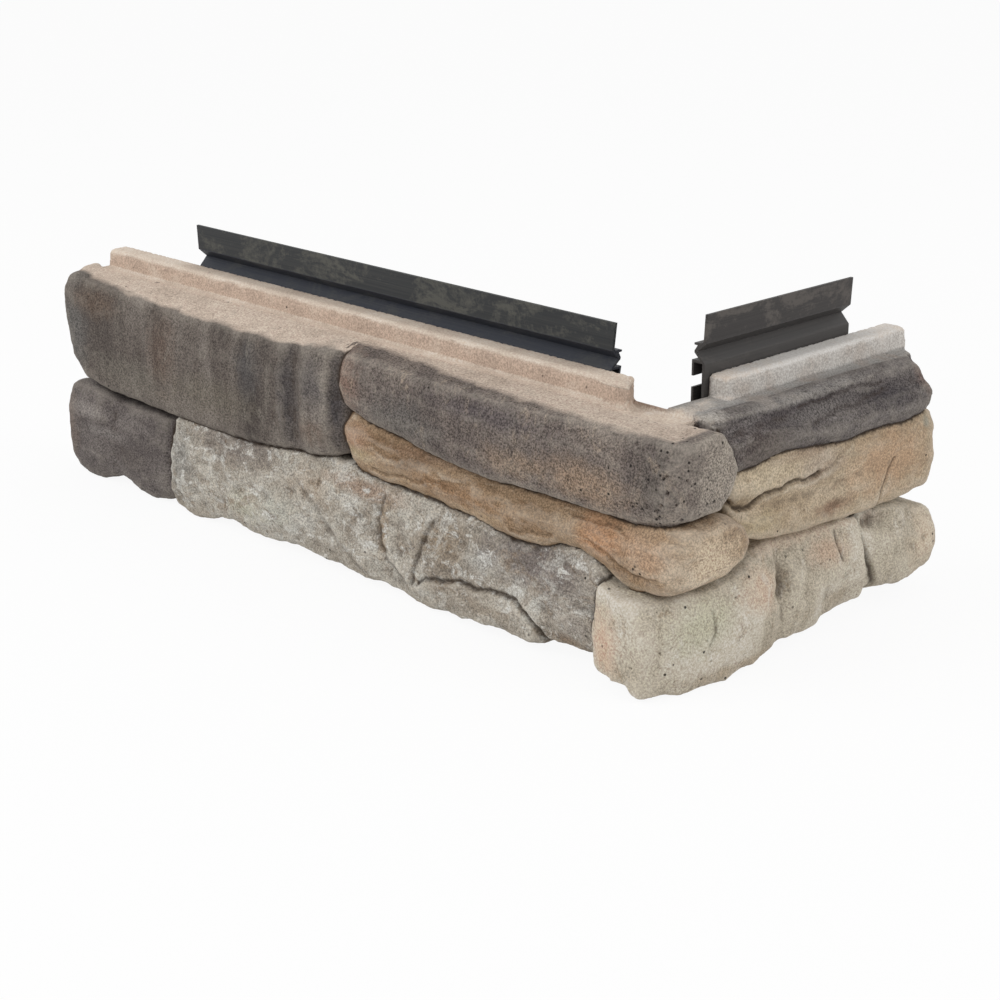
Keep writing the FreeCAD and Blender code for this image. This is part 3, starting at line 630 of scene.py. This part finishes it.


# %% Pigments
# Each stone: its name, its deep, middle and pale tones, the cloud's scale along X, Y and Z, then
# its patches and mottles, and how strong its speckle, grit and lightened convex edges are
FINISHES = {
    BACKING: stone_finish(
        "cast_backing", (190, 173, 157), (205, 189, 173), (218, 204, 189), (30, 30, 60),
        [((30, 120, 160), (90, 130, 60), (210, 206, 201), 1.0),
         # Painted shade: the short leg's shelf is a darker grey
         ((31, 110, 152.4), (6, 110, 3), (160, 157, 153), 0.9)], (), 0.2, 0.35, 0.2),
    TALL: stone_finish(
        "tall_stone_grey", (74, 67, 63), (97, 89, 83), (122, 114, 107), (34, 26, 8),
        [((-440, -58, 78), (120, 40, 10), (124, 116, 107), 0.6),
         ((-546, -58, 112), (22, 40, 46), (98, 97, 95), 0.6),
         ((-520, -58, 134), (40, 40, 14), (98, 82, 70), 0.6),
         ((-470, -58, 88), (60, 40, 14), (112, 106, 97), 0.6),
         ((-430, -58, 112), (20, 40, 34), (98, 82, 72), 0.6),
         ((-372, -58, 92), (60, 40, 16), (108, 101, 90), 0.6),
         ((-330, -58, 120), (16, 40, 24), (82, 80, 80), 0.6),
         ((-288, -58, 110), (11, 40, 40), (74, 70, 71), 0.75),
         ((-262, -58, 122), (14, 40, 20), (88, 84, 84), 0.6),
         ((-262, -58, 88), (16, 40, 12), (106, 90, 79), 0.7),
         ((-242, -58, 112), (6, 40, 34), (70, 68, 72), 0.7)],
        [(2.3, 0.57, (126, 119, 110), 0.45), (2.0, 0.58, (68, 58, 52), 0.5)], 0.5, 0.7, 0.16),
    END: stone_finish(
        "end_stone_grey", (84, 77, 75), (100, 93, 90), (118, 111, 107), (12, 24, 40),
        [((-566, -50, 30), (22, 40, 34), (112, 96, 86), 0.6),
         ((-530, -58, 48), (26, 40, 7), (142, 135, 130), 0.6),
         ((-512, -58, 34), (30, 40, 5), (128, 122, 118), 0.55),
         ((-480, -58, 20), (30, 40, 10), (84, 76, 72), 0.5)],
        [(2.2, 0.58, (128, 121, 116), 0.3), (2.6, 0.6, (76, 68, 66), 0.3)],
        0.5, 0.7, 0.15),
    SPLIT: stone_finish(
        "split_stone_pale", (136, 125, 112), (166, 158, 146), (198, 194, 184), (26, 26, 38),
        [((-415, -58, 36), (24, 40, 34), (140, 137, 131), 0.85),
         ((-352, -58, 60), (58, 40, 18), (124, 115, 108), 0.85),
         ((-300, -58, 24), (24, 40, 16), (190, 189, 178), 0.7),
         ((-335, -58, 18), (24, 40, 14), (184, 181, 162), 0.6),
         ((-265, -58, 50), (30, 40, 14), (168, 152, 134), 0.6),
         ((-210, -58, 60), (46, 40, 8), (158, 134, 116), 0.7),
         ((-192, -58, 38), (6, 40, 22), (150, 126, 98), 0.7),
         ((-134, -58, 44), (26, 40, 16), (136, 119, 99), 0.8),
         ((-98, -58, 40), (18, 40, 10), (176, 174, 168), 0.7),
         ((-50, -58, 50), (56, 40, 22), (112, 103, 100), 0.85),
         ((-20, -58, 20), (22, 40, 14), (164, 156, 147), 0.7),
         ((-90, -58, 10), (26, 40, 7), (172, 160, 144), 0.6),
         ((-26, -58, 6), (18, 40, 7), (132, 108, 86), 0.6)],
        [(2.6, 0.55, (212, 210, 204), 0.8), (2.2, 0.57, (122, 104, 84), 0.65),
         (4.4, 0.58, (98, 90, 84), 0.5), (5.6, 0.57, (210, 207, 200), 0.45),
         (1.2, 0.54, (208, 206, 199), 0.45), (1.0, 0.56, (132, 113, 93), 0.5)], 0.42, 0.8),
    CLEFT: stone_finish(
        "cleft_stone_tan", (122, 97, 73), (149, 124, 98), (172, 149, 122), (16, 18, 80),
        [((-222, -56, 94), (22, 40, 10), (168, 134, 110), 0.7),
         ((-214, -58, 84), (20, 40, 5), (172, 156, 126), 0.7),
         ((-150, -58, 96), (40, 40, 5), (150, 125, 104), 0.6),
         ((-120, -58, 80), (60, 40, 9), (148, 118, 90), 0.7),
         ((-60, -58, 88), (44, 40, 8), (138, 116, 92), 0.7),
         ((4, -60, 84), (26, 40, 14), (176, 132, 98), 0.75),
         ((40, -60, 82), (26, 40, 16), (186, 156, 130), 0.75),
         ((62, -34, 76), (20, 34, 26), (204, 186, 162), 0.9)],
        [(1.8, 0.57, (112, 84, 60), 0.5), (2.4, 0.58, (196, 174, 148), 0.5),
         (4.6, 0.59, (104, 80, 60), 0.4)], 0.4, 0.8),
    PILLOW: stone_finish(
        "pillow_stone_grey", (88, 80, 77), (111, 101, 95), (132, 121, 112), (24, 22, 12),
        [((-232, -56, 130), (22, 40, 24), (132, 108, 95), 0.75),
         ((-170, -58, 118), (40, 40, 16), (104, 101, 97), 0.6),
         ((-70, -58, 112), (30, 40, 11), (140, 121, 104), 0.75),
         ((-10, -60, 114), (44, 40, 15), (150, 128, 108), 0.8),
         ((-90, -58, 137), (60, 40, 9), (88, 81, 83), 0.65),
         ((44, -60, 126), (14, 40, 26), (94, 87, 82), 0.6),
         ((64, -26, 126), (6.5, 25, 36), (166, 156, 144), 0.8)],
        [(2.6, 0.57, (158, 142, 125), 0.5), (2.4, 0.59, (72, 66, 66), 0.5),
         (6.5, 0.58, (176, 160, 140), 0.2)], 0.6, 1.0),
    FOOT: stone_finish(
        "foot_stone_pale", (166, 155, 138), (194, 184, 166), (212, 204, 190), (26, 30, 18),
        [((16, -70, 52), (34, 14, 8), (224, 217, 206), 0.75),
         ((12, -70, 22), (18, 16, 26), (212, 184, 160), 0.8),
         ((60, -30, 34), (24, 30, 20), (190, 186, 162), 0.8),
         ((62, 20, 44), (24, 22, 16), (206, 182, 160), 0.8),
         ((62, 4, 0), (24, 60, 7), (158, 139, 114), 0.6),
         ((62, 92, 50), (24, 24, 12), (190, 164, 142), 0.8),
         ((62, 43, 40), (24, 8, 13), (120, 102, 82), 0.9),
         ((60, 74, 66), (26, 70, 8), (218, 196, 176), 0.8),
         ((62, 100, 16), (24, 16, 12), (156, 140, 118), 0.6),
         ((56, 146, 56), (24, 12, 8), (140, 124, 110), 0.85),
         ((60, 196, 32), (20, 22, 28), (214, 197, 175), 0.8)],
        [(2.6, 0.58, (150, 130, 106), 0.5), (3.2, 0.57, (214, 207, 196), 0.5),
         (5.0, 0.59, (138, 122, 102), 0.35)], 0.34, 0.85),
    MID: stone_finish(
        "mid_stone_warm", (148, 130, 106), (174, 156, 132), (190, 174, 152), (18, 12, 50),
        [((58, 24, 112), (20, 44, 12), (194, 179, 154), 0.7),
         ((58, 20, 84), (20, 24, 9), (172, 156, 126), 0.7),
         ((58, 80, 108), (20, 24, 12), (172, 158, 144), 0.6),
         ((58, 150, 96), (20, 50, 24), (178, 148, 120), 0.8),
         ((58, 92, 78), (20, 22, 6), (130, 104, 86), 0.8),
         ((58, 70, 120), (20, 40, 5), (150, 130, 112), 0.6),
         ((58, 192, 112), (20, 4, 5), (140, 138, 124), 0.8)],
        [(2.0, 0.58, (140, 116, 92), 0.45), (2.6, 0.59, (198, 182, 158), 0.45)], 0.34, 0.7),
    CROWN: stone_finish(
        "crown_stone_grey", (76, 70, 70), (96, 90, 88), (118, 112, 110), (12, 9, 44),
        [((58, 14, 132), (20, 34, 16), (80, 70, 66), 0.7),
         ((46, 80, 151), (12, 80, 4), (128, 124, 121), 0.8),
         ((56, 90, 142), (12, 60, 5), (112, 107, 104), 0.6),
         ((56, 156, 136), (20, 26, 10), (72, 68, 70), 0.6),
         ((50, 196, 140), (20, 10, 14), (112, 92, 84), 0.7),
         ((38, -6, 153), (16, 14, 4), (168, 162, 156), 0.9)],
        [(2.0, 0.57, (128, 122, 119), 0.4), (2.6, 0.60, (62, 56, 56), 0.4)], 0.6, 0.8, 0.2),
}
print("finishes", [finish.name for finish in FINISHES.values()])

# %% [markdown]
# ## Run the rule and thin the net
# The tree's inputs are set by their identifiers, and the result is taken as a plain mesh. A
# Decimate pass then spends the triangles where the surface bends, and leaves flat backs with
# few. The points are held inside the solid's own box.

# %% Split, thin and hold
rule = casting.modifiers.new("SplitStone", "NODES")
rule.node_group = tree
for item in tree.interface.items_tree:
    if item.item_type == "SOCKET" and item.in_out == "INPUT" and item.name in NAMED:
        rule[item.identifier] = NAMED[item.name]
    if item.item_type == "SOCKET" and item.name == "Finish":
        rule[item.identifier] = FINISHES[BACKING]
split = plain_mesh(casting, "stone_split")
casting.modifiers.clear()
casting.data = split
TRIANGLES = 196000
thin = casting.modifiers.new("Thin", "DECIMATE")
thin.ratio = min(1.0, TRIANGLES / (2 * len(split.polygons)))
stone_mesh = plain_mesh(casting, "stone_casting_skin")
casting.modifiers.clear()
casting.data = stone_mesh
low, high = [np.array(corner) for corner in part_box("stone_casting")]
spots = np.clip(points_of(stone_mesh), low + 0.0002, high - 0.0002)
stone_mesh.vertices.foreach_set("co", spots.astype(np.float32).ravel())
stone_mesh.update()
print("casting has", len(stone_mesh.polygons), "faces", [mark.name for mark in stone_mesh.attributes])


# %% [markdown]
# ## What the finishes read from the shape
# The hollow value darkens furrows and other concave places as painted shade and lightens convex
# edges. How far a point stands off the average of its neighbours tells which it is, and
# averaging that a few times gives the width of the wash. The shelf and the stones' upper beds
# carry dust of the backing's colour, peach on the long leg, and on the short a grey made darker
# as painted shade. The tongue's front and the crease at its foot have darker tones of their
# own, which are painted shade.

# %% Hollows, cracks, shelf dust and painted shade
facing = np.empty(len(stone_mesh.vertices) * 3, np.float32)
stone_mesh.vertices.foreach_get("normal", facing)
facing = facing.reshape(-1, 3)
place = points_of(stone_mesh) * 1000
near = neighbour_mean(stone_mesh, place, 6)
wide = neighbour_mean(stone_mesh, near, 14)
fine = ((near - place) * facing).sum(1)
broad = ((wide - place) * facing).sum(1)
hollow = np.clip(fine * 0.8 + broad * 0.22, -1, 1)
member = np.empty((len(KINDS), len(place)), np.float32)
for kind in KINDS:
    stone_mesh.attributes["of_%d" % kind].data.foreach_get("value", member[kind])
stone = member.argmax(0)
out = np.maximum(place[:, 0], -place[:, 1])
upward = np.clip((facing[:, 2] - 0.35) / 0.5, 0, 1)
shelf = np.clip((place[:, 2] - 141) / 5, 0, 1) * upward

# How far out the dust lies on each upper stone, in mm from the wall's corner, along the leg
TALL_DUST = ((-565, -540, -480, -400, -300, -240), (40, 46, 53, 56, 58, 50))
PILLOW_DUST = ((-240, -200, -150, -60, 10, 40), (35, 37, 43, 50, 54, 52))
tall_reach = np.interp(place[:, 0], *TALL_DUST)
pillow_reach = np.interp(place[:, 0], *PILLOW_DUST)
reach = np.where(stone == TALL, tall_reach, np.where(stone == PILLOW, pillow_reach, 52))
shelf *= np.clip((reach + 4 - out) / 8, 0, 1)
short = np.clip((place[:, 1] + 15) / 5, 0, 1) * np.clip((place[:, 0] - 8) / 4, 0, 1)
# Tones of shelf dust, of the tongue's front and of the crease at its foot, for the long leg and the
# short. The short leg's shelf grey is darker as painted shade, and the front and crease tones are
# painted shade.
TONES = {"shelf": ((208, 190, 174), (148, 145, 141)), "tongue_front_shade": ((186, 164, 147), (190, 185, 179)),
         "crease_shade": ((134, 108, 91), (122, 118, 114))}
peach, grey = [{name: np.array(pigment(*pair[leg])[:3]) for name, pair in TONES.items()}
               for leg in range(2)]
note(stone_mesh, "hollow", np.where(stone == BACKING, hollow * 0.3, hollow))
brim = (place[:, 2] > 150.5) & (out > 30)
amount = np.where(stone == CROWN, 0.25, 0.9) * shelf * (stone != BACKING)
amount = np.maximum(amount, brim * np.clip((37 - out) / 3, 0, 1))
flat = np.clip((154.5 - place[:, 2]) / 1.5, 0, 1) * (stone == BACKING) * (place[:, 2] > 150)
# Painted shade: the tongue's upright front faces take a darker tone, as they get less light than its
# top
front_shade_mask = np.clip((0.6 - np.abs(facing[:, 2])) / 0.3, 0, 1)
front_shade_mask *= (place[:, 2] > 152) * (stone == BACKING)
TONGUE_FACE = 12.7
# Painted shade in the crease along the tongue's foot
crease_shade = np.exp(-((out - TONGUE_FACE) / 1.8) ** 2 - ((place[:, 2] - 153) / 2) ** 2)
# The backing's shelf on the short leg takes more of its darker grey, which is painted shade
use = {"shelf": np.maximum(amount, flat * (0.35 + 0.6 * short)), "tongue_front_shade": front_shade_mask * 0.85,
       "crease_shade": crease_shade * 1.2}
dust = np.zeros((len(place), 3))
for name, share in use.items():
    tone = peach[name][None, :] * (1 - short[:, None]) + grey[name][None, :] * short[:, None]
    over = (share / np.maximum(sum(use.values()), 1e-6))[:, None]
    dust += tone * over
# The dusty value is how much a point takes of this tone of dust and painted shade
note(stone_mesh, "dusty", np.clip(sum(use.values()), 0, 1))
note(stone_mesh, "dust", dust)
print("hollow", round(float(hollow.min()), 2), round(float(hollow.max()), 2))

# %% Give each face its stone's finish
stone_mesh.materials.clear()
for kind in KINDS:
    stone_mesh.materials.append(FINISHES[kind])
corner = np.empty(len(stone_mesh.polygons), np.int32)
stone_mesh.polygons.foreach_get("loop_start", corner)
vertex = np.empty(len(stone_mesh.loops), np.int32)
stone_mesh.loops.foreach_get("vertex_index", vertex)
shares = sum(member[:, vertex[corner + turn]] for turn in range(3))
stone_mesh.polygons.foreach_set("material_index", shares.argmax(0).astype(np.int32))
stone_mesh.polygons.foreach_set("use_smooth", np.ones(len(stone_mesh.polygons), bool))
for name in ["lump", "chip", "grain", "stretch", "sunk"] + ["of_%d" % kind for kind in KINDS]:
    if name in stone_mesh.attributes:
        stone_mesh.attributes.remove(stone_mesh.attributes[name])
stone_mesh.update()
casting.name = "stone_skin"
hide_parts("stone_casting")
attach(casting, "root")
print("faces of each finish", np.bincount(shares.argmax(0), minlength=len(KINDS)))

# %% [markdown]
# ## The fixing strips
# The strips are extruded plastic, black but dull with dust from the casting shop. Their solids
# are right as they are, so they keep them and only get a finish: fine lines along the
# extrusion, smears of pale dust that cling to the flange, and a slightly uneven sheen.

# %% Black plastic with casting dust
def strip_finish(name, run, dark, pale, cool, split):
    material = bpy.data.materials.new(name)
    material.use_nodes = True
    bench = Bench(material.node_tree)
    place = own_place(bench)
    level = bench.node("ShaderNodeSeparateXYZ", None, {0: place}, 2)
    drawn = bench.noise(bench.vector("MULTIPLY", place, run), 1.0, 4.0, 0.6)
    smear = bench.noise(bench.vector("MULTIPLY", place, (22, 22, 45)), 1.0, 5.0, 0.7, 0.8)
    fleck = bench.noise(place, 420.0, 3.0, 0.7)
    flange = ((level - split) * 900.0).held()
    dusty = ((smear - 0.5) * 8.0 + (fleck - 0.5) * 2.4).held() * (0.3 + 0.7 * flange)
    tone = bench.mix(flange, pigment(*cool), pigment(*dark))
    tone = bench.mix(((drawn - 0.4) * 2.0).held() * 0.25, tone, pigment(*pale))
    tone = bench.mix(dusty * 0.7, tone, pigment(*pale))
    height = drawn * 0.6 + fleck * 0.4
    bump = bench.node("ShaderNodeBump", None,
                      {"Strength": 0.35, "Distance": 0.0003, "Height": height})
    shader = material.node_tree.nodes["Principled BSDF"]
    material.node_tree.links.new(tone.socket, shader.inputs["Base Color"])
    rough = 0.55 + 0.3 * dusty
    material.node_tree.links.new(rough.socket, shader.inputs["Roughness"])
    material.node_tree.links.new(bump.socket, shader.inputs["Normal"])
    shader.inputs["Specular IOR Level"].default_value = 0.3
    return material


for node, run in (("long_mounting_strip", (6, 900, 900)), ("short_mounting_strip", (900, 6, 900))):
    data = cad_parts[node].data
    if node == "long_mounting_strip":
        finish = strip_finish("long_strip_black", run, (38, 40, 42), (92, 91, 85), (34, 38, 48),
                              0.1785)
    else:
        finish = strip_finish("short_strip_black", run, (50, 47, 46), (100, 95, 91), (62, 60, 59),
                              0.1855)
    data.materials.clear()
    data.materials.append(finish)
print("strips dressed")

# %% [markdown]
# ## Floor, light and camera
# The piece rests on a pale floor under two large soft lamps and an even sky. The floor adds
# some light of its own for what the camera sees directly, which makes the background white
# while the piece keeps its shadow. The camera stands where the photograph was taken from.

# %% Floor
bpy.ops.mesh.primitive_plane_add(size=9, location=(-0.2, 0.1, low[2] - 0.0002))
floor = bpy.context.object
floor.name = "floor"
floor_finish = bpy.data.materials.new("floor_white")
floor_finish.use_nodes = True
bench = Bench(floor_finish.node_tree)
floor_finish.node_tree.nodes["Principled BSDF"].inputs["Base Color"].default_value = (
    0.86, 0.86, 0.86, 1)
floor_finish.node_tree.nodes["Principled BSDF"].inputs["Roughness"].default_value = 0.9
glow = bench.node("ShaderNodeEmission", None, {"Color": (1, 1, 1, 1), "Strength": 1.0})
lit = Wire(bench, floor_finish.node_tree.nodes["Principled BSDF"].outputs[0])
FLOOR_GLOW = 0.92
blend = bench.node("ShaderNodeMixShader", None,
                   {0: seen_directly(bench) * FLOOR_GLOW, 1: lit, 2: glow})
floor_finish.node_tree.links.new(
    blend.socket, floor_finish.node_tree.nodes["Material Output"].inputs["Surface"])
floor.data.materials.append(floor_finish)

# %% Sky
world = bpy.data.worlds.new("studio")
bpy.context.scene.world = world
world.use_nodes = True
bench = Bench(world.node_tree)
AMBIENT = 0.62
backdrop = world.node_tree.nodes["Background"]
backdrop.inputs["Color"].default_value = (1, 1, 1, 1)
strength = AMBIENT + (1 - AMBIENT) * seen_directly(bench)
world.node_tree.links.new(strength.socket, backdrop.inputs["Strength"])


# %% Lamps
def soft_lamp(name, place, target, size, power):
    data = bpy.data.lights.new(name, "AREA")
    data.shape = "SQUARE"
    data.size = size
    data.energy = power
    lamp = bpy.data.objects.new(name, data)
    bpy.context.scene.collection.objects.link(lamp)
    aim = np.array(target, float) - np.array(place, float)
    lamp.location = place
    lamp.rotation_euler = (math.atan2(math.hypot(aim[0], aim[1]), -aim[2]), 0,
                           math.atan2(-aim[0], aim[1]))
    return lamp


soft_lamp("lamp_left", (-0.9, -1.7, 1.5), (-0.25, 0, 0.08), 1.4, 22)
soft_lamp("lamp_right", (1.7, 0.5, 1.3), (0.0, 0.05, 0.08), 1.2, 13)
print("lamps placed")

# %% Camera
AZIMUTH, ELEVATION = 45.5, 19.1
lens = bpy.data.cameras.new("camera")
lens.lens = 72
lens.sensor_width = 36
camera = bpy.data.objects.new("camera", lens)
camera.location = (0.74322, -0.86889, 0.48533)
camera.rotation_euler = (math.radians(90 - ELEVATION), 0, math.radians(AZIMUTH))
bpy.context.scene.collection.objects.link(camera)
bpy.context.scene.camera = camera
bpy.context.scene.view_settings.view_transform = "Standard"
